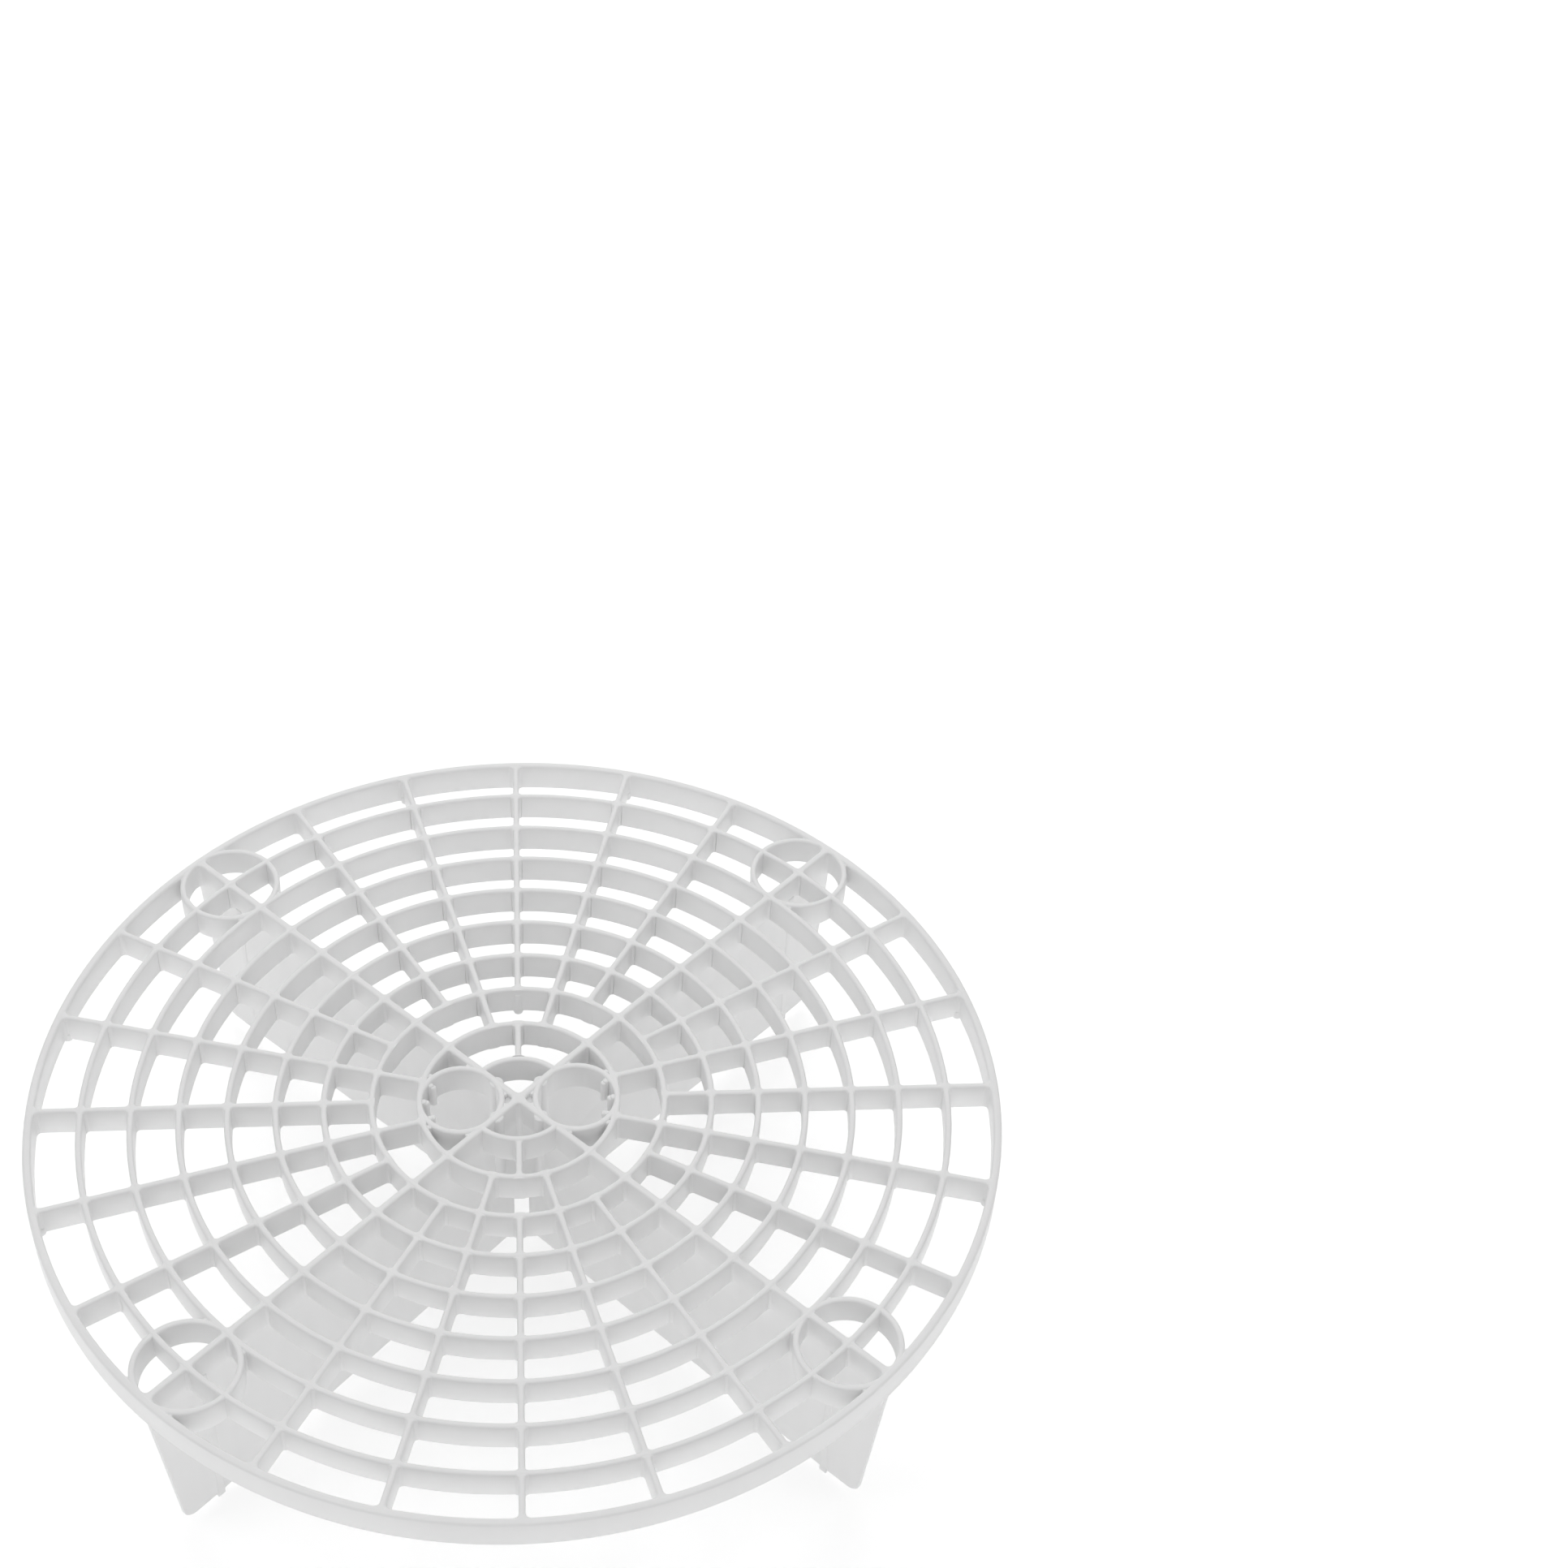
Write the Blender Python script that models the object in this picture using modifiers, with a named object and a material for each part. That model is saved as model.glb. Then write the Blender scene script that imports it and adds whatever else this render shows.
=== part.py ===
"""Bucket insert: a round open grid on four standing vanes, which keeps grit at the bottom of a wash bucket.

The real insert is a single polypropylene moulding. Here its rim, rings, ribs, vanes, finger wells and corner
collars are separate solids that slot into each other like an egg crate: where two walls cross, one keeps the
upper half of the grid and the other keeps the lower half, with a small gap all round.

Units are metres, +Z is up, the origin is on the floor under the centre, and the front is towards -Y.
"""

import math

import bmesh
import bpy
from mathutils import Matrix, Vector

# Overall sizes
OUTER_DIAMETER = 0.260
TOTAL_HEIGHT = 0.062
GRID_DEPTH = 0.0087

# Walls
RIM_WALL = 0.0023
RING_WALL = 0.0017
RIB_WALL = 0.0017
VANE_WALL = 0.0018
WELL_WALL = 0.0017
COLLAR_WALL = 0.0017

# Rings, counted from the centre. The first is only two short arcs, and the tenth is the rim.
FIRST_RING_RADIUS = 0.01385
RING_PITCH = 0.01265
PITCHED_RINGS = 8
RIB_COUNT = 24

# Vanes
VANE_TOP_INSET = 0.0008
VANE_BOTTOM_INSET = 0.0064
VANE_CORNER_RADIUS = 0.004
VANE_CENTRE_RISE = 0.006
NIB_INSET = 0.018
NIB_WIDTH = 0.0024
NIB_HEIGHT = 0.0016
RELIEF_HALF_WIDTH = 0.0037
RELIEF_DEPTH = 0.036

# Fit
GAP = 0.0003
OVERSHOOT = 0.002
MERGE_DISTANCE = 0.00001

# Faceting
RING_STEPS = 48
RIM_STEPS = 96
TUBE_STEPS = 32
CORNER_STEPS = 4

# Places worked out from the sizes above
OUTER_RADIUS = OUTER_DIAMETER / 2
RIM_RADIUS = OUTER_RADIUS - RIM_WALL / 2
NIB_RADIUS = OUTER_RADIUS - NIB_INSET
GRID_TOP = TOTAL_HEIGHT
GRID_BOTTOM = TOTAL_HEIGHT - GRID_DEPTH
LAP_LEVEL = (GRID_TOP + GRID_BOTTOM) / 2
LAST_RING = PITCHED_RINGS + 1
DIAGONALS = {"back_right": 45, "back_left": 135, "front_left": 225, "front_right": 315}
WHITE = (0.80, 0.80, 0.795, 1.0)


def ring_radius(number):
    """Centreline radius. The last ring lies halfway between the pitched rings and the rim."""
    if number <= PITCHED_RINGS:
        return FIRST_RING_RADIUS + (number - 1) * RING_PITCH
    return (ring_radius(PITCHED_RINGS) + RIM_RADIUS) / 2


def well_place():
    """(distance from the centre, centreline radius) of a finger well, which touches both diagonals and ring 2."""
    distance = ring_radius(2) / (1 + math.sin(math.pi / 4))
    return distance, distance * math.sin(math.pi / 4)


def collar_place():
    """(distance from the centre, centreline radius) of a corner collar, from the outer pitched ring to the rim."""
    distance = ring_radius(LAST_RING)
    return distance, distance - ring_radius(PITCHED_RINGS)


def clear_scene():
    for obj in list(bpy.data.objects):
        bpy.data.objects.remove(obj, do_unlink=True)


def new_collection(name):
    collection = bpy.data.collections.new(name)
    bpy.context.scene.collection.children.link(collection)
    return collection


def plastic(name, roughness):
    material = bpy.data.materials.new(name)
    material.use_nodes = True
    shader = material.node_tree.nodes["Principled BSDF"]
    shader.inputs["Base Color"].default_value = WHITE
    shader.inputs["Roughness"].default_value = roughness
    shader.inputs["Metallic"].default_value = 0.0
    return material


def object_from(bm, name, collection, material=None):
    """Makes the bmesh an object. One without a material is a cutter."""
    mesh = bpy.data.meshes.new(name)
    bm.to_mesh(mesh)
    bm.free()
    obj = bpy.data.objects.new(name, mesh)
    collection.objects.link(obj)
    if material is None:
        obj.hide_render = True
        obj.display_type = "WIRE"
    else:
        mesh.materials.append(material)
    return obj


def boolean(obj, tool, operation="DIFFERENCE"):
    modifier = obj.modifiers.new(tool.name, "BOOLEAN")
    modifier.operation = operation
    modifier.solver = "EXACT"
    modifier.object = tool


def add_ring_profile(bm, radius, wall, low, high):
    """A wall's section at +X, which runs down its outer side."""
    inner, outer = radius - wall / 2, radius + wall / 2
    corners = [(outer, high), (outer, low), (inner, low), (inner, high)]
    points = [bm.verts.new((x, 0, z)) for x, z in corners]
    for start, end in zip(points, points[1:] + points[:1]):
        bm.edges.new((start, end))


def turned_walls(name, walls, steps, collection, material=None):
    """One object of ring walls about Z, each given as (radius, wall, low, high)."""
    bm = bmesh.new()
    for wall in walls:
        add_ring_profile(bm, *wall)
    obj = object_from(bm, name, collection, material)
    screw = obj.modifiers.new("turn", "SCREW")
    screw.axis = "Z"
    screw.angle = 2 * math.pi
    screw.steps = steps
    screw.render_steps = steps
    screw.use_merge_vertices = True
    screw.merge_threshold = MERGE_DISTANCE
    return obj


def prism(bm, outline, vector):
    """A closed solid: the flat outline, swept along the vector."""
    face = bm.faces.new([bm.verts.new(point) for point in outline])
    swept = bmesh.ops.extrude_face_region(bm, geom=[face], use_keep_orig=True)
    moved = [item for item in swept["geom"] if isinstance(item, bmesh.types.BMVert)]
    bmesh.ops.translate(bm, verts=moved, vec=vector)
    bmesh.ops.recalc_face_normals(bm, faces=bm.faces[:])


def wall_prism(bm, start, end, wall, low, high, angle):
    """A straight upright wall along a radius, from start to end."""
    turn = Matrix.Rotation(math.radians(angle), 4, "Z")
    size = Matrix.Diagonal((end - start, wall, high - low, 1))
    place = Matrix.Translation(((start + end) / 2, 0, (low + high) / 2))
    bmesh.ops.create_cube(bm, size=1, matrix=turn @ place @ size)


def tube(bm, centre, radius, wall, low, high):
    """An upright tube: its section, turned about the upright line through the centre."""
    inner, outer = radius - wall / 2, radius + wall / 2
    corners = [(outer, high), (outer, low), (inner, low), (inner, high)]
    points = [bm.verts.new((centre.x + x, centre.y, z)) for x, z in corners]
    edges = [bm.edges.new(pair) for pair in zip(points, points[1:] + points[:1])]
    bmesh.ops.spin(
        bm,
        geom=points + edges,
        cent=centre,
        axis=(0, 0, 1),
        angle=2 * math.pi,
        steps=TUBE_STEPS,
        use_merge=True,
    )
    bmesh.ops.recalc_face_normals(bm, faces=bm.faces[:])


def rib_spans():
    """angle: (start, end) of each full rib's centreline, clear of the ring where it starts and of the rim."""
    step = 360 // RIB_COUNT
    end = RIM_RADIUS - RIM_WALL / 2 - GAP
    spans = {}
    for angle in range(0, 360, step):
        if angle in DIAGONALS.values():
            continue
        from_axis = min(angle % 90, 90 - angle % 90)
        first_ring = 2 if from_axis == step else 3
        spans[angle] = (ring_radius(first_ring) + RING_WALL / 2 + GAP, end)
    return spans


def well_centre(side):
    return Vector((side * well_place()[0], 0, 0))


def collar_centre(angle):
    return Matrix.Rotation(math.radians(angle), 3, "Z") @ Vector((collar_place()[0], 0, 0))


def vane_bottom(radius):
    """Height of a vane's lower edge: flat under the nibs, and rising towards the centre."""
    rise = VANE_CENTRE_RISE * max(0.0, 1 - radius / NIB_RADIUS)
    return NIB_HEIGHT + rise


def vane_profile():
    """Side view of a vane as (radius, height) points, round once from its top outer corner."""
    top_outer = OUTER_RADIUS - VANE_TOP_INSET
    bottom_outer = OUTER_RADIUS - VANE_BOTTOM_INSET
    slope = math.atan2(top_outer - bottom_outer, GRID_BOTTOM - NIB_HEIGHT)
    # The arc touches the slanting end and the level lower edge.
    reach = VANE_CORNER_RADIUS * math.tan((math.pi / 2 - slope) / 2)
    arc_centre = (bottom_outer - reach, NIB_HEIGHT + VANE_CORNER_RADIUS)
    points = [(top_outer, GRID_TOP), (top_outer, GRID_BOTTOM)]
    for step in range(CORNER_STEPS + 1):
        turn = -slope - (math.pi / 2 - slope) * step / CORNER_STEPS
        points.append(
            (
                arc_centre[0] + VANE_CORNER_RADIUS * math.cos(turn),
                arc_centre[1] + VANE_CORNER_RADIUS * math.sin(turn),
            )
        )
    outer_nib, inner_nib = NIB_RADIUS + NIB_WIDTH / 2, NIB_RADIUS - NIB_WIDTH / 2
    points += [(outer_nib, NIB_HEIGHT), (outer_nib, 0), (inner_nib, 0), (inner_nib, vane_bottom(inner_nib))]
    relief_top = GRID_TOP - RELIEF_DEPTH
    points += [(RELIEF_HALF_WIDTH, vane_bottom(RELIEF_HALF_WIDTH)), (RELIEF_HALF_WIDTH, relief_top)]
    points += [(0, relief_top), (0, GRID_TOP)]
    return points


def vane_plan():
    """Top view of a vane: a strip whose inner end is mitred, so that four of them meet round the centre."""
    half = VANE_WALL / 2
    tip = GAP / math.sqrt(2)
    return [(tip, 0), (tip + half, -half), (OUTER_RADIUS, -half), (OUTER_RADIUS, half), (tip + half, half)]


def make_cutters(collection):
    """The spaces that crossing walls leave for each other, each wider than its wall by the gap."""
    cutters = {}
    above = GRID_TOP + OVERSHOOT
    below = GRID_BOTTOM - OVERSHOOT
    upper = (LAP_LEVEL - GAP / 2, above)
    lower = (below, LAP_LEVEL + GAP / 2)
    whole = (GRID_BOTTOM - GAP, above)

    rings = [(ring_radius(n), RING_WALL + 2 * GAP, *upper) for n in range(2, LAST_RING + 1)]
    cutters["rings"] = turned_walls("ring_slots", rings, RING_STEPS, collection)

    rim_inner = RIM_RADIUS - RIM_WALL / 2 - GAP
    rim_wall = OUTER_RADIUS + OVERSHOOT - rim_inner
    rim = [(rim_inner + rim_wall / 2, rim_wall, *whole)]
    cutters["rim"] = turned_walls("rim_slot", rim, RIM_STEPS, collection)

    bm = bmesh.new()
    for angle, (start, end) in rib_spans().items():
        wall_prism(bm, start, end, RIB_WALL + 2 * GAP, *lower, angle)
    vane_start = ring_radius(2) - RING_WALL / 2 - OVERSHOOT
    for angle in DIAGONALS.values():
        wall_prism(bm, vane_start, RIM_RADIUS, VANE_WALL + 2 * GAP, *lower, angle)
    cutters["ribs"] = object_from(bm, "rib_slots", collection)

    for name, span in (("lower", lower), ("whole", whole)):
        bm = bmesh.new()
        for side in (-1, 1):
            tube(bm, well_centre(side), well_place()[1], WELL_WALL + 2 * GAP, *span)
        cutters["wells_" + name] = object_from(bm, "well_slots_" + name, collection)
        bm = bmesh.new()
        for angle in DIAGONALS.values():
            tube(bm, collar_centre(angle), collar_place()[1], COLLAR_WALL + 2 * GAP, *span)
        cutters["collars_" + name] = object_from(bm, "collar_slots_" + name, collection)
    return cutters


def make_rim(collection, material):
    walls = [(RIM_RADIUS, RIM_WALL, GRID_BOTTOM, GRID_TOP)]
    turned_walls("outer_rim", walls, RIM_STEPS, collection, material)


def make_rings(collection, material, cutters):
    for number in range(2, LAST_RING + 1):
        walls = [(ring_radius(number), RING_WALL, GRID_BOTTOM, GRID_TOP)]
        ring = turned_walls(f"grid_ring_{number}", walls, RING_STEPS, collection, material)
        boolean(ring, cutters["ribs"])
        if number == 2:
            boolean(ring, cutters["wells_lower"])
        if number >= PITCHED_RINGS:
            boolean(ring, cutters["collars_lower"])


def make_centre_arcs(collection, material, cutter_collection):
    """Ring 1's two arcs, each in the quarter between two vanes."""
    clear = (VANE_WALL / 2 + GAP) * math.sqrt(2)
    reach = ring_radius(2)
    for name, side in (("front", -1), ("back", 1)):
        bm = bmesh.new()
        outline = [(0, side * clear), (reach, side * (clear + reach)), (-reach, side * (clear + reach))]
        low, high = GRID_BOTTOM - OVERSHOOT, GRID_TOP + OVERSHOOT
        prism(bm, [(x, y, low) for x, y in outline], Vector((0, 0, high - low)))
        quarter = object_from(bm, "quarter_" + name, cutter_collection)
        walls = [(ring_radius(1), RING_WALL, GRID_BOTTOM, GRID_TOP)]
        arc = turned_walls("centre_arc_" + name, walls, RING_STEPS, collection, material)
        boolean(arc, quarter, "INTERSECT")


def make_ribs(collection, material, cutters):
    for angle, (start, end) in rib_spans().items():
        bm = bmesh.new()
        wall_prism(bm, start, end, RIB_WALL, GRID_BOTTOM, GRID_TOP, angle)
        rib = object_from(bm, f"grid_rib_{angle:03d}", collection, material)
        boolean(rib, cutters["rings"])
    start = ring_radius(1) + RING_WALL / 2 + GAP
    end = ring_radius(2) - RING_WALL / 2 - GAP
    for name, angle in (("front", 270), ("back", 90)):
        bm = bmesh.new()
        wall_prism(bm, start, end, RIB_WALL, GRID_BOTTOM, GRID_TOP, angle)
        object_from(bm, f"centre_rib_{name}", collection, material)


def make_wells(collection, material, cutters):
    for name, side in (("left", -1), ("right", 1)):
        bm = bmesh.new()
        tube(bm, well_centre(side), well_place()[1], WELL_WALL, GRID_BOTTOM, GRID_TOP)
        well = object_from(bm, "finger_well_" + name, collection, material)
        boolean(well, cutters["rings"])


def make_collars(collection, material, cutters):
    for name, angle in DIAGONALS.items():
        bm = bmesh.new()
        tube(bm, collar_centre(angle), collar_place()[1], COLLAR_WALL, GRID_BOTTOM, GRID_TOP)
        collar = object_from(bm, "corner_collar_" + name, collection, material)
        boolean(collar, cutters["rim"])
        boolean(collar, cutters["rings"])


def make_vanes(collection, material, cutters, cutter_collection):
    for name, angle in DIAGONALS.items():
        turn = Matrix.Rotation(math.radians(angle), 4, "Z")
        bm = bmesh.new()
        outline = [(radius, OVERSHOOT, height) for radius, height in vane_profile()]
        prism(bm, outline, Vector((0, -2 * OVERSHOOT, 0)))
        bmesh.ops.transform(bm, matrix=turn, verts=bm.verts[:])
        side_view = object_from(bm, "side_view_" + name, cutter_collection)

        bm = bmesh.new()
        prism(bm, [(x, y, 0) for x, y in vane_plan()], Vector((0, 0, TOTAL_HEIGHT)))
        bmesh.ops.transform(bm, matrix=turn, verts=bm.verts[:])
        vane = object_from(bm, "vane_" + name, collection, material)
        boolean(vane, side_view, "INTERSECT")
        for cutter in ("rim", "rings", "wells_whole", "collars_whole"):
            boolean(vane, cutters[cutter])


def main():
    clear_scene()
    parts = new_collection("bucket_insert")
    tools = new_collection("cutters")
    cutters = make_cutters(tools)
    make_rim(parts, plastic("rim_plastic", 0.36))
    grid_plastic = plastic("grid_plastic", 0.40)
    make_rings(parts, grid_plastic, cutters)
    make_centre_arcs(parts, grid_plastic, tools)
    make_ribs(parts, grid_plastic, cutters)
    make_wells(parts, plastic("well_plastic", 0.38), cutters)
    make_collars(parts, plastic("collar_plastic", 0.38), cutters)
    make_vanes(parts, plastic("vane_plastic", 0.45), cutters, tools)


main()
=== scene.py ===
"""Looks of the bucket insert: a round open grid on four standing vanes, in natural white polypropylene.

Metres, +Z up, the front towards -Y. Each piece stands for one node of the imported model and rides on
its body. The walls run through one another at full depth, as in the single moulding that the insert
really is.
"""

import math

import bmesh
import bpy
from mathutils import Matrix, Vector


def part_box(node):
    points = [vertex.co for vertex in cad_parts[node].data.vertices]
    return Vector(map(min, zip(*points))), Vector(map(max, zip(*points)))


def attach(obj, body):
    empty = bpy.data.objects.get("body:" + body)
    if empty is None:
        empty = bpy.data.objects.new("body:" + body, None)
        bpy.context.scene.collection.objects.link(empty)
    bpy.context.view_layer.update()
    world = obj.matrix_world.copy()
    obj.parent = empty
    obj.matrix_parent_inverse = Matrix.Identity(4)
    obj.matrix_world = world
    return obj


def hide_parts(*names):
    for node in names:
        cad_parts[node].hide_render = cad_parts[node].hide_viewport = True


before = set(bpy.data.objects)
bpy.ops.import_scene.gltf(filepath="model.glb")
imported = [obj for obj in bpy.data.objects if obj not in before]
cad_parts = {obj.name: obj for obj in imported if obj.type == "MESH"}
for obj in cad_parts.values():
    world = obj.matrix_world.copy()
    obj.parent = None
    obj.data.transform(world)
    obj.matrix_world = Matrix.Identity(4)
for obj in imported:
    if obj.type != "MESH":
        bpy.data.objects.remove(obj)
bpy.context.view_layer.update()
BODY = "root"

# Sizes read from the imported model
GRID_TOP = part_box("outer_rim")[1].z
GRID_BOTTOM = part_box("outer_rim")[0].z
OUTER_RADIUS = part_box("outer_rim")[1].x
RIB_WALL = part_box("grid_rib_000")[1].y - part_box("grid_rib_000")[0].y

# Walls. Crowns round their tops, drafts are the share of the thickness left at their feet.
RIM_WALL = 0.0023
DIAGONAL_WALL = 0.0020
CROWN = 0.00060
RIM_CROWN = 0.00070
CROWN_STEPS = 5
FOOT_EASE = 0.00025
RIB_DRAFT = 0.86
RIM_DRAFT = 0.94
CROSSING_FILLET = 0.0009
RIM_FILLET = 0.0013
CENTRE_FILLET = 0.0012

# How many steps go round a circle, or along ring 1's quarter turn
RIM_STEPS = 240
LARGE_RING_STEPS = 192
SMALL_RING_STEPS = 96
ARC_STEPS = 36
PEG_SIDES = 20

# Pieces that pass through one another are set apart by multiples of this, so that no two faces coincide
LOWER = 0.00001
PAST_CENTRE = 0.0002

# Vanes
PLATE_HALF_ABOVE = 0.00089
PLATE_HALF_BELOW = 0.00070
PLATE_SUNK = 0.002
PLATE_EASE = 0.0003
PLATE_EASED_BELOW = 0.003
PLATE_EASED_BEYOND = 0.001
VANE_TOP_INSET = 0.0008
VANE_BOTTOM_INSET = 0.0064
VANE_CORNER = 0.0036
VANE_CORNER_STEPS = 8
VANE_CENTRE_RISE = 0.006
RELIEF_HALF_WIDTH = 0.0037
RELIEF_DEPTH = 0.036
NIB_RADIUS = OUTER_RADIUS - 0.018
NIB_HEIGHT = 0.0016
NIB_WIDTH = 0.0024
STRIP_PROUD = 0.0004
STRIP_SUNK = 0.001
STRIP_EASE = 0.00035

# Pins, bosses and gate marks
PIN_SUNK = 0.002
PIN_ROUNDING = 0.0003
RIM_PIN_RADIUS = 0.0014
RIM_PIN_PROUD = 0.0005
RING_PIN_RADIUS = 0.0013
RING_PIN_PROUD = 0.0009
BOSS_RADIUS = 0.0020
BOSS_PLACE = 0.0084
BOSS_START = 0.0005
BOSS_DEPTH = 0.031
BOSS_ROUNDING = 0.0005
GATE_RING = 6
GATE_RADIUS = 0.0011
GATE_SHORT = 0.003
GATE_ROUNDING = 0.0002

# Finger wells: each row of pegs is (how far in from the wall, how far short of the grid's two faces)
WELL_PEG_TURNS = (-35, 0, 35)
WELL_PEG_ROWS = ((0.0003, 0.0005), (0.0011, 0.0009))
WELL_PEG_RADIUS = 0.00085
WELL_PEG_ROUNDING = 0.00045
WEDGE_GAP = 0.0003
WEDGE_PEG = 0.00085
WEDGE_INSET = 0.0004
CORE_RADIUS = 0.0019
CORE_DEPTH = 0.0016
CORE_SHORT = 0.0004
CORE_ROUNDING = 0.0005

# Studio: each softbox is (place, width, watts)
FLOOR_HALF_WIDTH = 6.0
FLOOR_DROP = 0.0002
SOFTBOXES = {
    "overhead_softbox": ((0, 0, 1.6), 1.6, 8.5),
    "front_softbox": ((0, -1.6, 1.0), 1.4, 6.2),
    "back_softbox": ((0, 1.6, 1.0), 1.4, 10.5),
    "left_softbox": ((-1.6, 0, 1.0), 1.4, 7.5),
    "right_softbox": ((1.6, 0, 1.0), 1.4, 6.0),
}
CAMERA_PLACE = (0.00806, -0.48920, 0.65528)
CAMERA_TILT = (45.824, -2.638, -4.208)

DIAGONALS = {"back_right": 45, "back_left": 135, "front_left": 225, "front_right": 315}
FULL_TURN = 2 * math.pi
RIM_RADIUS = OUTER_RADIUS - RIM_WALL / 2
RIM_INSIDE = OUTER_RADIUS - RIM_WALL


def ring_radius(number):
    """Centreline radius of a ring. Ring 1 is only two arcs."""
    if number == 1:
        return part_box("centre_arc_back")[1].y - RIB_WALL / 2
    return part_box(f"grid_ring_{number}")[1].x - RIB_WALL / 2


RING = {number: ring_radius(number) for number in range(1, 10)}
LAST_RING = 9


# Moulded shapes


def join(bm, shell):
    """Adds a finished shell to the piece."""
    mesh = bpy.data.meshes.new("shell")
    shell.to_mesh(mesh)
    shell.free()
    bm.from_mesh(mesh)
    bpy.data.meshes.remove(mesh)


def turn(bm, angle):
    """Turns a shape about the insert's upright middle line, by degrees."""
    matrix = Matrix.Rotation(math.radians(angle), 3, "Z")
    bmesh.ops.rotate(bm, verts=bm.verts[:], cent=(0, 0, 0), matrix=matrix)


def wall_section(wall, top, bottom, crown, draft):
    """An upright wall's section in the plane Y = 0: rounded above, a little slimmer and eased below."""
    bm = bmesh.new()
    half = wall / 2
    upper = [bm.verts.new((side * half, 0, top)) for side in (1, -1)]
    lower = [bm.verts.new((side * half * draft, 0, bottom)) for side in (-1, 1)]
    bm.faces.new(upper + lower)
    bmesh.ops.bevel(
        bm, geom=upper, offset=crown, segments=CROWN_STEPS, profile=0.5, affect="VERTICES", material=-1
    )
    bmesh.ops.bevel(
        bm, geom=lower, offset=FOOT_EASE, segments=2, profile=0.5, affect="VERTICES", material=-1
    )
    return bm


def turned_wall(
    radius,
    centre,
    steps,
    wall=RIB_WALL,
    crown=CROWN,
    draft=RIB_DRAFT,
    angle=FULL_TURN,
    start=0.0,
    inset=0.0,
):
    """A round wall: the section turned about the upright line through the centre. An arc gets end faces."""
    bm = wall_section(wall, GRID_TOP - inset, GRID_BOTTOM + inset, crown, draft)
    bmesh.ops.translate(bm, verts=bm.verts[:], vec=(radius, 0, 0))
    bmesh.ops.rotate(bm, verts=bm.verts[:], cent=(0, 0, 0), matrix=Matrix.Rotation(start, 3, "Z"))
    bmesh.ops.translate(bm, verts=bm.verts[:], vec=centre)
    bmesh.ops.delete(bm, geom=bm.faces[:], context="FACES_ONLY")
    whole = angle == FULL_TURN
    section = bm.verts[:] + bm.edges[:]
    bmesh.ops.spin(
        bm, geom=section, cent=centre, axis=(0, 0, 1), angle=angle, steps=steps, use_merge=whole
    )
    if not whole:
        bmesh.ops.holes_fill(bm, edges=[edge for edge in bm.edges if edge.is_boundary])
    bmesh.ops.recalc_face_normals(bm, faces=bm.faces[:])
    return bm


def straight_wall(stations, wall=RIB_WALL, inset=2 * LOWER):
    """A wall along +X through stations of (distance from the centre, share of the wall's thickness)."""
    bm = wall_section(wall, GRID_TOP - inset, GRID_BOTTOM + inset, CROWN, RIB_DRAFT)
    here, share = stations[0]
    turn(bm, 90)
    bmesh.ops.scale(bm, verts=bm.verts[:], vec=(1, share, 1))
    bmesh.ops.translate(bm, verts=bm.verts[:], vec=(here, 0, 0))
    end = bm.faces[:][0]
    for there, next_share in stations[1:]:
        at_start = (here, share) == stations[0]
        swept = bmesh.ops.extrude_face_region(bm, geom=[end], use_keep_orig=at_start)
        end = next(item for item in swept["geom"] if isinstance(item, bmesh.types.BMFace))
        bmesh.ops.translate(bm, verts=end.verts[:], vec=(there - here, 0, 0))
        bmesh.ops.scale(bm, verts=end.verts[:], vec=(1, next_share / share, 1))
        here, share = there, next_share
    bmesh.ops.recalc_face_normals(bm, faces=bm.faces[:])
    return bm


def flare(fillet, wall=RIB_WALL, met_wall=RIB_WALL):
    """How a wall widens as it nears another: (distance from that one's centreline, share), nearest last."""
    half = wall / 2
    bends = [math.radians(angle) for angle in (0, 30, 60, 90)]
    return [
        (met_wall / 2 + fillet * (1 - math.sin(bend)), 1 + fillet * (1 - math.cos(bend)) / half)
        for bend in bends
    ]


def crossing(radius, wall=RIB_WALL):
    """Stations through a ring, with a fillet on each side: four before its wall, and four after."""
    steps = flare(CROSSING_FILLET, wall)
    inwards = [(radius - away, share) for away, share in steps]
    outwards = [(radius + away, share) for away, share in reversed(steps)]
    return inwards + outwards


def into_rim(wall=RIB_WALL):
    """Stations where a wall runs into the rim."""
    steps = flare(RIM_FILLET, wall, 0.0)
    return [(RIM_INSIDE - away, share) for away, share in steps] + [(RIM_RADIUS, steps[-1][1])]


def peg(radius, x, y, top, bottom, rounding):
    """A small upright pin with a rounded top."""
    bm = bmesh.new()
    place = Matrix.Translation((x, y, (top + bottom) / 2))
    bmesh.ops.create_cone(
        bm,
        cap_ends=True,
        segments=PEG_SIDES,
        radius1=radius,
        radius2=radius,
        depth=top - bottom,
        matrix=place,
    )
    rim = [edge for edge in bm.edges if all(vert.co.z > top - rounding for vert in edge.verts)]
    bmesh.ops.bevel(bm, geom=rim, offset=rounding, segments=3, profile=0.5, affect="EDGES", material=-1)
    return bm


# Plastic


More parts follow.
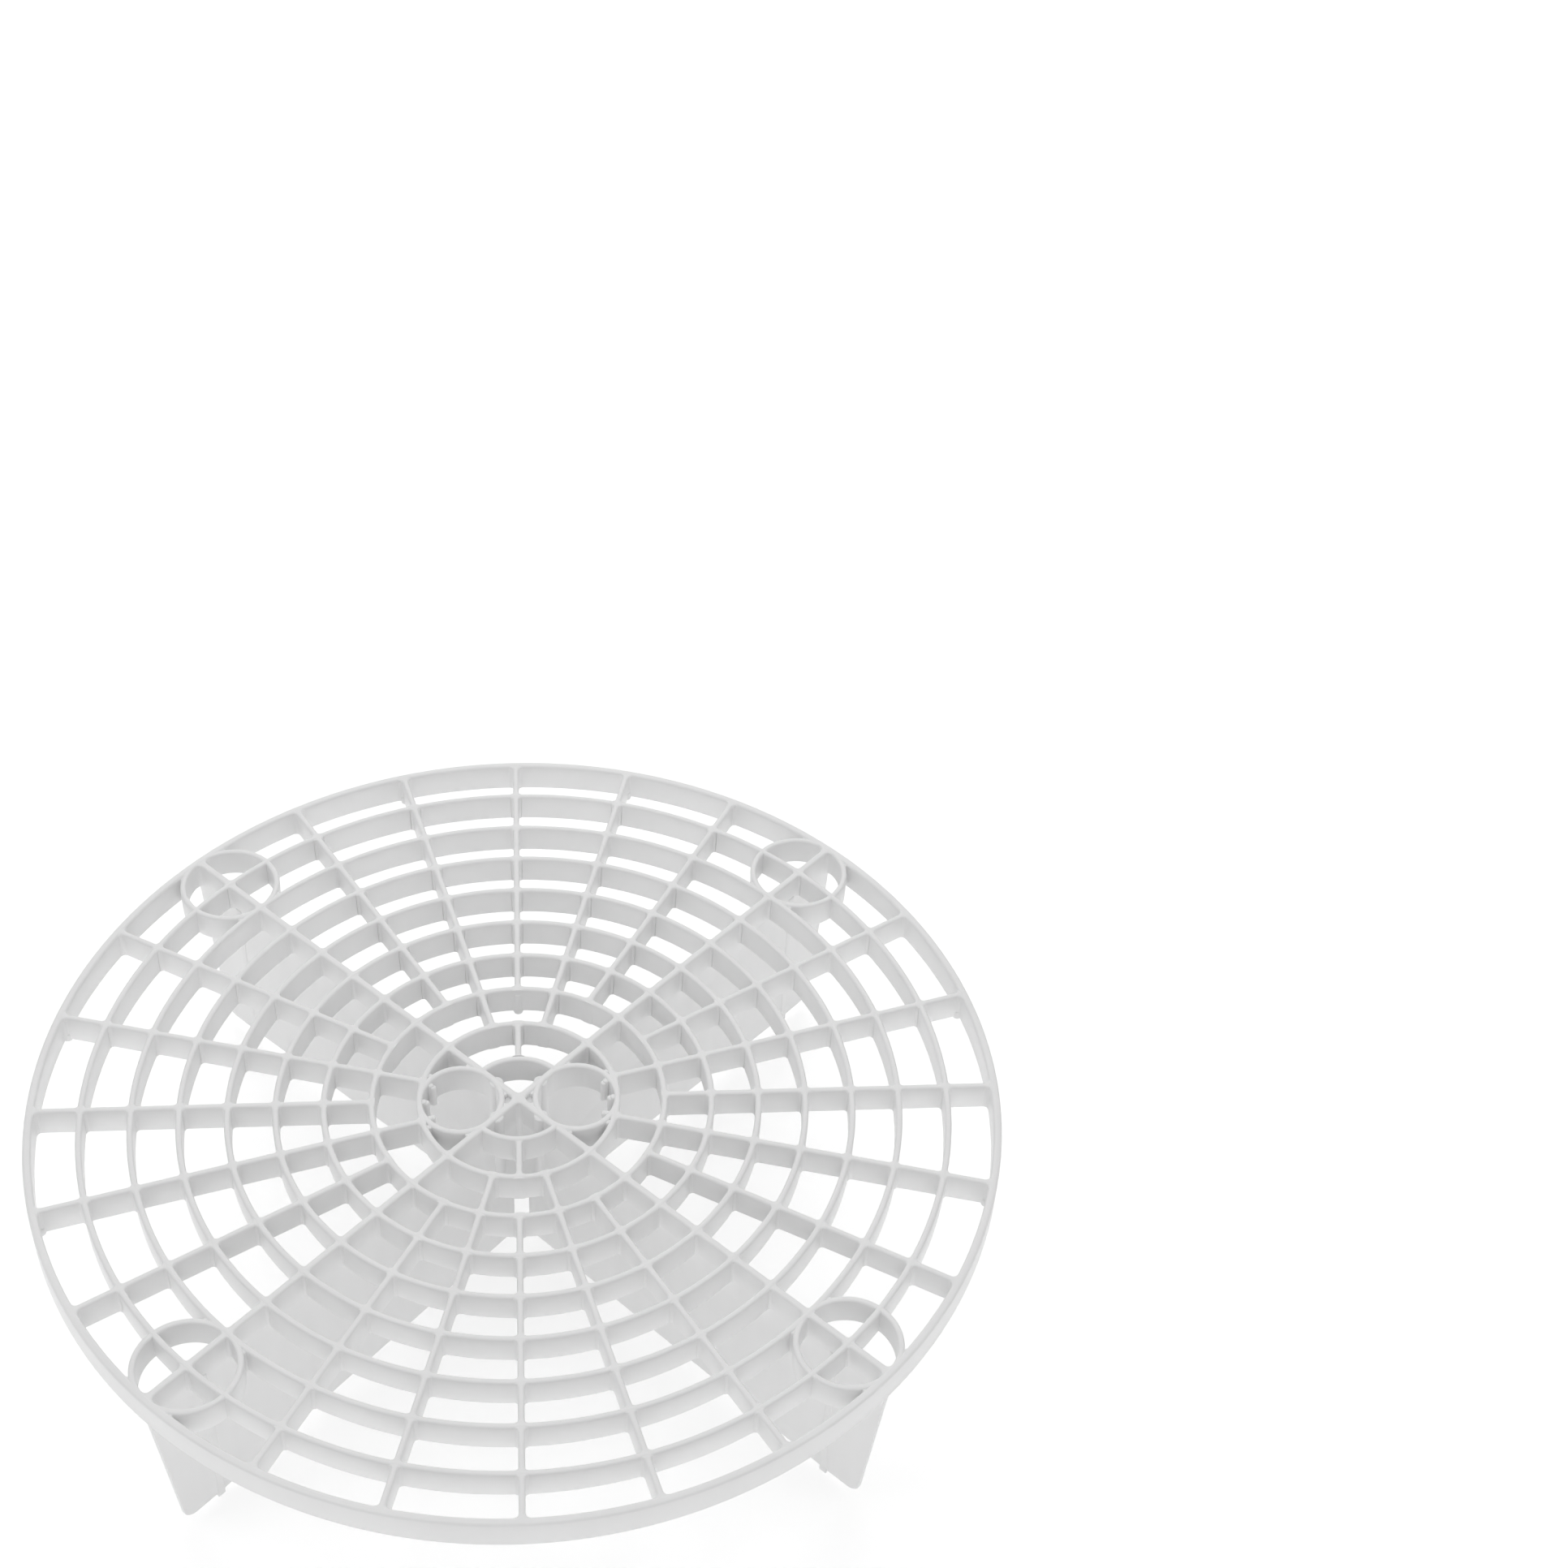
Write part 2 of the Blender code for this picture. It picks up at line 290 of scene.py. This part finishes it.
def natural_polypropylene(slot, roughness, flow_marks=0.0):
    """Satin white plastic, cloudy in tone and gloss, with fine mould texture and faint upright flow marks."""
    material = bpy.data.materials.new(slot)
    material.use_nodes = True
    nodes, links = material.node_tree.nodes, material.node_tree.links
    shader = nodes["Principled BSDF"]
    shader.inputs["IOR"].default_value = 1.49
    shader.inputs["Specular IOR Level"].default_value = 0.42
    place = nodes.new("ShaderNodeTexCoord")

    cloud = nodes.new("ShaderNodeTexNoise")
    cloud.inputs["Scale"].default_value = 38.0
    cloud.inputs["Detail"].default_value = 3.0
    links.new(place.outputs["Object"], cloud.inputs["Vector"])

    streaks_place = nodes.new("ShaderNodeMapping")
    streaks_place.inputs["Scale"].default_value = (260.0, 260.0, 9.0)
    links.new(place.outputs["Object"], streaks_place.inputs["Vector"])
    streaks = nodes.new("ShaderNodeTexNoise")
    streaks.inputs["Scale"].default_value = 1.0
    streaks.inputs["Detail"].default_value = 2.0
    links.new(streaks_place.outputs["Vector"], streaks.inputs["Vector"])

    blend = nodes.new("ShaderNodeMix")
    blend.data_type = "FLOAT"
    blend.inputs["Factor"].default_value = 0.15 + flow_marks
    links.new(cloud.outputs["Fac"], blend.inputs["A"])
    links.new(streaks.outputs["Fac"], blend.inputs["B"])

    tone = nodes.new("ShaderNodeValToRGB")
    tone.color_ramp.elements[0].position = 0.30
    tone.color_ramp.elements[0].color = (0.853, 0.853, 0.853, 1)
    tone.color_ramp.elements[1].position = 0.70
    tone.color_ramp.elements[1].color = (0.888, 0.888, 0.888, 1)
    links.new(blend.outputs["Result"], tone.inputs["Fac"])
    links.new(tone.outputs["Color"], shader.inputs["Base Color"])

    gloss = nodes.new("ShaderNodeMapRange")
    gloss.inputs["To Min"].default_value = roughness - 0.05
    gloss.inputs["To Max"].default_value = roughness + 0.06
    links.new(cloud.outputs["Fac"], gloss.inputs["Value"])
    links.new(gloss.outputs["Result"], shader.inputs["Roughness"])

    satin = nodes.new("ShaderNodeTexNoise")
    satin.inputs["Scale"].default_value = 2400.0
    satin.inputs["Detail"].default_value = 2.0
    links.new(place.outputs["Object"], satin.inputs["Vector"])
    texture = nodes.new("ShaderNodeBump")
    texture.inputs["Strength"].default_value = 0.12
    texture.inputs["Distance"].default_value = 0.00003
    links.new(satin.outputs["Fac"], texture.inputs["Height"])
    ripple = nodes.new("ShaderNodeBump")
    ripple.inputs["Strength"].default_value = 0.10 + flow_marks
    ripple.inputs["Distance"].default_value = 0.00012
    links.new(streaks.outputs["Fac"], ripple.inputs["Height"])
    links.new(texture.outputs["Normal"], ripple.inputs["Normal"])
    links.new(ripple.outputs["Normal"], shader.inputs["Normal"])
    return material


PLASTIC = {
    "rim_plastic": natural_polypropylene("rim_plastic", 0.36),
    "grid_plastic": natural_polypropylene("grid_plastic", 0.40),
    "well_plastic": natural_polypropylene("well_plastic", 0.38),
    "collar_plastic": natural_polypropylene("collar_plastic", 0.38),
    "vane_plastic": natural_polypropylene("vane_plastic", 0.45, 0.25),
}


def moulded(bm, node, slot):
    """Makes the shell the piece that stands for the node."""
    mesh = bpy.data.meshes.new(node)
    bm.to_mesh(mesh)
    bm.free()
    mesh.shade_smooth()
    mesh.set_sharp_from_angle(angle=math.radians(35))
    mesh.materials.append(PLASTIC[slot])
    piece = bpy.data.objects.new("moulded_" + node, mesh)
    bpy.context.scene.collection.objects.link(piece)
    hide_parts(node)
    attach(piece, BODY)


# The insert's parts


def make_rim():
    rim = turned_wall(RIM_RADIUS, (0, 0, 0), RIM_STEPS, RIM_WALL, RIM_CROWN, RIM_DRAFT)
    moulded(rim, "outer_rim", "rim_plastic")


def make_rings():
    """Rings 2 to 9 are whole."""
    for number in range(2, LAST_RING + 1):
        steps = SMALL_RING_STEPS if number < 5 else LARGE_RING_STEPS
        ring = turned_wall(RING[number], (0, 0, 0), steps)
        moulded(ring, f"grid_ring_{number}", "grid_plastic")


def make_centre_arcs():
    """Ring 1 runs only from diagonal to diagonal, at the front and at the back."""
    for side, start in (("front", 225), ("back", 45)):
        arc = turned_wall(
            RING[1], (0, 0, 0), ARC_STEPS, angle=math.pi / 2, start=math.radians(start)
        )
        moulded(arc, "centre_arc_" + side, "grid_plastic")


def make_ribs():
    """Ribs every 15 degrees but on the diagonals, and the two short ones inside ring 2.

    The ones next to an axis start at ring 2, the others at ring 3. A wall starts or ends inside a ring's
    wall, so it takes only the crossing's stations on one side and the nearest on the other.
    """
    for angle in range(0, 360, 15):
        if angle in DIAGONALS.values():
            continue
        from_axis = min(angle % 90, 90 - angle % 90)
        first = 2 if from_axis == 15 else 3
        stations = crossing(RING[first])[3:]
        for number in range(first + 1, LAST_RING + 1):
            stations += crossing(RING[number])
        rib = straight_wall(stations + into_rim())
        if from_axis == 15:
            low = GRID_BOTTOM - RIM_PIN_PROUD
            join(rib, peg(RIM_PIN_RADIUS, RIM_INSIDE, 0, GRID_BOTTOM + PIN_SUNK, low, PIN_ROUNDING))
        if angle == 90:
            low = GRID_BOTTOM - RING_PIN_PROUD
            join(rib, peg(RING_PIN_RADIUS, RING[3], 0, GRID_TOP - PIN_SUNK, low, PIN_ROUNDING))
        turn(rib, angle)
        moulded(rib, f"grid_rib_{angle:03d}", "grid_plastic")

    for side, angle in (("front", 270), ("back", 90)):
        rib = straight_wall(crossing(RING[1])[4:] + crossing(RING[2])[:5])
        turn(rib, angle)
        moulded(rib, "centre_rib_" + side, "grid_plastic")


def wedge_peg(bm, x, y):
    """Fills the narrow wedge beside the line where two walls touch."""
    join(bm, peg(WEDGE_PEG, x, y, GRID_TOP - WEDGE_INSET, GRID_BOTTOM + WEDGE_INSET, WEDGE_INSET))


def ring_fillets(bm, centre, radius, ring, outwards):
    """The wedges where a round wall on the X axis touches a ring.

    Outwards is 1 where it touches with its far side, and -1 where with its near side. From there the
    two centrelines part by about the square of the way along them.
    """
    bend = 1 / radius - outwards / ring
    along = math.sqrt(2 * (RIB_WALL + WEDGE_GAP) / bend)
    on_wall = abs(centre) + outwards * math.sqrt(radius**2 - along**2)
    on_ring = math.sqrt(ring**2 - along**2)
    for side in (-1, 1):
        wedge_peg(bm, math.copysign((on_wall + on_ring) / 2, centre), side * along)


def diagonal_fillets(bm, centre, radius):
    """The wedges where a round wall on the X axis touches both diagonals."""
    apart = (RIB_WALL + DIAGONAL_WALL) / 2 + WEDGE_GAP
    touch = abs(centre) * math.sqrt(0.5)
    along = math.sqrt(2 * radius * apart)
    for reach in (touch - along, touch + along):
        x = math.copysign((reach + apart / 2) * math.sqrt(0.5), centre)
        y = (reach - apart / 2) * math.sqrt(0.5)
        for side in (-1, 1):
            wedge_peg(bm, x, side * y)


def make_wells():
    """Finger wells, each with three pairs of small pegs inside, in line with the ribs that meet it."""
    for side, outwards in (("left", -1), ("right", 1)):
        low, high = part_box("finger_well_" + side)
        centre = Vector(((low.x + high.x) / 2, 0, 0))
        radius = (high.x - low.x) / 2 - RIB_WALL / 2
        well = turned_wall(radius, centre, SMALL_RING_STEPS, inset=3 * LOWER)
        for bearing in WELL_PEG_TURNS:
            for reach, short in WELL_PEG_ROWS:
                arm = radius - RIB_WALL / 2 - reach
                x = centre.x + outwards * arm * math.cos(math.radians(bearing))
                y = arm * math.sin(math.radians(bearing))
                high_end, low_end = GRID_TOP - short, GRID_BOTTOM + short
                join(well, peg(WELL_PEG_RADIUS, x, y, high_end, low_end, WELL_PEG_ROUNDING))
        ring_fillets(well, centre.x, radius, RING[2], 1)
        diagonal_fillets(well, centre.x, radius)
        core = outwards * (abs(centre.x) - radius) / 2
        high_end, low_end = GRID_TOP - CORE_DEPTH, GRID_BOTTOM + CORE_SHORT
        join(well, peg(CORE_RADIUS, core, 0, high_end, low_end, CORE_ROUNDING))
        moulded(well, "finger_well_" + side, "well_plastic")


def make_collars():
    """Round walls between ring 8 and the rim, where the diagonals run out."""
    reach = RING[9] - RING[8]
    for corner, angle in DIAGONALS.items():
        collar = turned_wall(reach, (RING[9], 0, 0), SMALL_RING_STEPS, inset=4 * LOWER)
        ring_fillets(collar, RING[9], reach, RING[8], -1)
        ring_fillets(collar, RING[9], reach, RIM_RADIUS, 1)
        turn(collar, angle)
        moulded(collar, "corner_collar_" + corner, "collar_plastic")


def vane_plate(drop):
    """The plate under the diagonal wall, along +X, thinner below and filleted at the centre.

    The drop sets the four plates' undersides apart at the centre, where they pass through one another.
    """
    bm = bmesh.new()
    foot_rise = VANE_CENTRE_RISE * (1 - RELIEF_HALF_WIDTH / NIB_RADIUS)
    relief_top = GRID_TOP - RELIEF_DEPTH - drop
    outline = [
        (0, GRID_TOP - PLATE_SUNK),
        (0, relief_top),
        (RELIEF_HALF_WIDTH, relief_top),
        (RELIEF_HALF_WIDTH, NIB_HEIGHT + foot_rise),
        (NIB_RADIUS, NIB_HEIGHT),
        (OUTER_RADIUS - VANE_BOTTOM_INSET, NIB_HEIGHT),
        (OUTER_RADIUS - VANE_TOP_INSET, GRID_BOTTOM),
        (OUTER_RADIUS - VANE_TOP_INSET, GRID_TOP - PLATE_SUNK),
    ]
    corners = [bm.verts.new((x, -PLATE_HALF_ABOVE, z)) for x, z in outline]
    bm.faces.new(corners)
    foot_corner = corners[5]
    bmesh.ops.bevel(
        bm,
        geom=[foot_corner],
        offset=VANE_CORNER,
        segments=VANE_CORNER_STEPS,
        profile=0.5,
        affect="VERTICES",
        material=-1,
    )
    plate = bm.faces[:][0]
    swept = bmesh.ops.extrude_face_region(bm, geom=[plate], use_keep_orig=True)
    far = [item for item in swept["geom"] if isinstance(item, bmesh.types.BMVert)]
    bmesh.ops.translate(bm, verts=far, vec=(0, 2 * PLATE_HALF_ABOVE, 0))
    bmesh.ops.recalc_face_normals(bm, faces=bm.faces[:])
    for vert in bm.verts:
        depth = (GRID_TOP - vert.co.z) / GRID_TOP
        vert.co.y *= 1 + (PLATE_HALF_BELOW / PLATE_HALF_ABOVE - 1) * depth
    rims = [
        edge
        for edge in bm.edges
        if abs(edge.verts[0].co.y - edge.verts[1].co.y) < PLATE_HALF_ABOVE
        and max(vert.co.z for vert in edge.verts) < GRID_TOP - PLATE_EASED_BELOW
        and max(vert.co.x for vert in edge.verts) > RELIEF_HALF_WIDTH + PLATE_EASED_BEYOND
    ]
    bmesh.ops.bevel(
        bm, geom=rims, offset=PLATE_EASE, segments=2, profile=0.5, affect="EDGES", material=-1
    )
    steps = flare(CENTRE_FILLET, 2 * PLATE_HALF_ABOVE, DIAGONAL_WALL)
    for away, _ in steps:
        bmesh.ops.bisect_plane(
            bm,
            geom=bm.verts[:] + bm.edges[:] + bm.faces[:],
            dist=LOWER / 10,
            plane_co=(away, 0, 0),
            plane_no=(1, 0, 0),
        )
    for vert in bm.verts:
        wider = [share for away, share in steps if vert.co.x < away + LOWER]
        if wider:
            vert.co.y *= wider[-1]
    return bm


def vane_strip():
    """The upright strip on both faces of the vane, which ends below in the nib."""
    bm = bmesh.new()
    place = Matrix.Translation((NIB_RADIUS, 0, GRID_BOTTOM / 2 + STRIP_SUNK / 2))
    size = Matrix.Diagonal((NIB_WIDTH, 2 * PLATE_HALF_ABOVE + STRIP_PROUD, GRID_BOTTOM + STRIP_SUNK, 1))
    bmesh.ops.create_cube(bm, size=1, matrix=place @ size)
    for vert in bm.verts:
        if vert.co.z < NIB_HEIGHT:
            vert.co.y *= PLATE_HALF_BELOW / PLATE_HALF_ABOVE
    bmesh.ops.bevel(
        bm, geom=bm.edges[:], offset=STRIP_EASE, segments=3, profile=0.5, affect="EDGES", material=-1
    )
    return bm


def make_vanes():
    """Each vane is a diagonal wall of the grid with its plate, strip, boss and gate mark."""
    for order, (corner, angle) in enumerate(DIAGONALS.items()):
        steps = flare(CENTRE_FILLET, DIAGONAL_WALL, DIAGONAL_WALL)
        stations = [(-PAST_CENTRE, steps[-1][1])] + list(reversed(steps))
        for number in range(2, LAST_RING + 1):
            stations += crossing(RING[number], DIAGONAL_WALL)
        stations += into_rim(DIAGONAL_WALL)
        vane = straight_wall(stations, DIAGONAL_WALL, (5 + order) * LOWER)
        join(vane, vane_plate(order * LOWER))
        join(vane, vane_strip())
        high, low = GRID_TOP - BOSS_START, GRID_TOP - BOSS_DEPTH
        join(vane, peg(BOSS_RADIUS, BOSS_PLACE, 0, high, low, BOSS_ROUNDING))
        high, low = GRID_TOP - LOWER, GRID_BOTTOM + GATE_SHORT
        join(vane, peg(GATE_RADIUS, RING[GATE_RING], 0, high, low, GATE_ROUNDING))
        turn(vane, angle)
        moulded(vane, "vane_" + corner, "vane_plastic")


make_rim()
make_rings()
make_centre_arcs()
make_ribs()
make_wells()
make_collars()
make_vanes()


# Studio


def make_floor():
    """Plain white paper, far wider than the insert."""
    bm = bmesh.new()
    bmesh.ops.create_grid(bm, x_segments=1, y_segments=1, size=FLOOR_HALF_WIDTH)
    mesh = bpy.data.meshes.new("studio_floor")
    bm.to_mesh(mesh)
    bm.free()
    paper = bpy.data.materials.new("pale_paper")
    paper.use_nodes = True
    shader = paper.node_tree.nodes["Principled BSDF"]
    shader.inputs["Base Color"].default_value = (0.94, 0.94, 0.94, 1)
    shader.inputs["Roughness"].default_value = 0.9
    shader.inputs["Specular IOR Level"].default_value = 0.1
    shader.inputs["Emission Color"].default_value = (1.0, 1.0, 1.0, 1)
    shader.inputs["Emission Strength"].default_value = 0.34
    mesh.materials.append(paper)
    floor = bpy.data.objects.new("studio_floor", mesh)
    floor.location.z = -FLOOR_DROP
    bpy.context.scene.collection.objects.link(floor)


def soft_light(name, place, width, watts):
    """A square softbox that faces the insert."""
    light = bpy.data.lights.new(name, "AREA")
    light.shape = "SQUARE"
    light.size = width
    light.energy = watts
    lamp = bpy.data.objects.new(name, light)
    lamp.location = place
    lamp.rotation_euler = (-Vector(place)).to_track_quat("-Z", "Y").to_euler()
    bpy.context.scene.collection.objects.link(lamp)


def make_studio():
    """A dim even sky, and a softbox overhead and on each side."""
    world = bpy.context.scene.world or bpy.data.worlds.new("studio")
    bpy.context.scene.world = world
    world.use_nodes = True
    sky = world.node_tree.nodes["Background"]
    sky.inputs["Color"].default_value = (1.0, 1.0, 1.0, 1.0)
    sky.inputs["Strength"].default_value = 0.16
    for name, (place, width, watts) in SOFTBOXES.items():
        soft_light(name, place, width, watts)


def make_camera():
    """From the front, above and a little to the right, slightly tilted."""
    camera = bpy.data.cameras.new("studio_camera")
    camera.sensor_width = 36.0
    camera.lens = 65.144
    camera.clip_start = 0.01
    holder = bpy.data.objects.new("studio_camera", camera)
    holder.location = CAMERA_PLACE
    holder.rotation_euler = [math.radians(angle) for angle in CAMERA_TILT]
    bpy.context.scene.collection.objects.link(holder)
    bpy.context.scene.camera = holder


make_floor()
make_studio()
make_camera()
bpy.context.scene.view_settings.view_transform = "Standard"
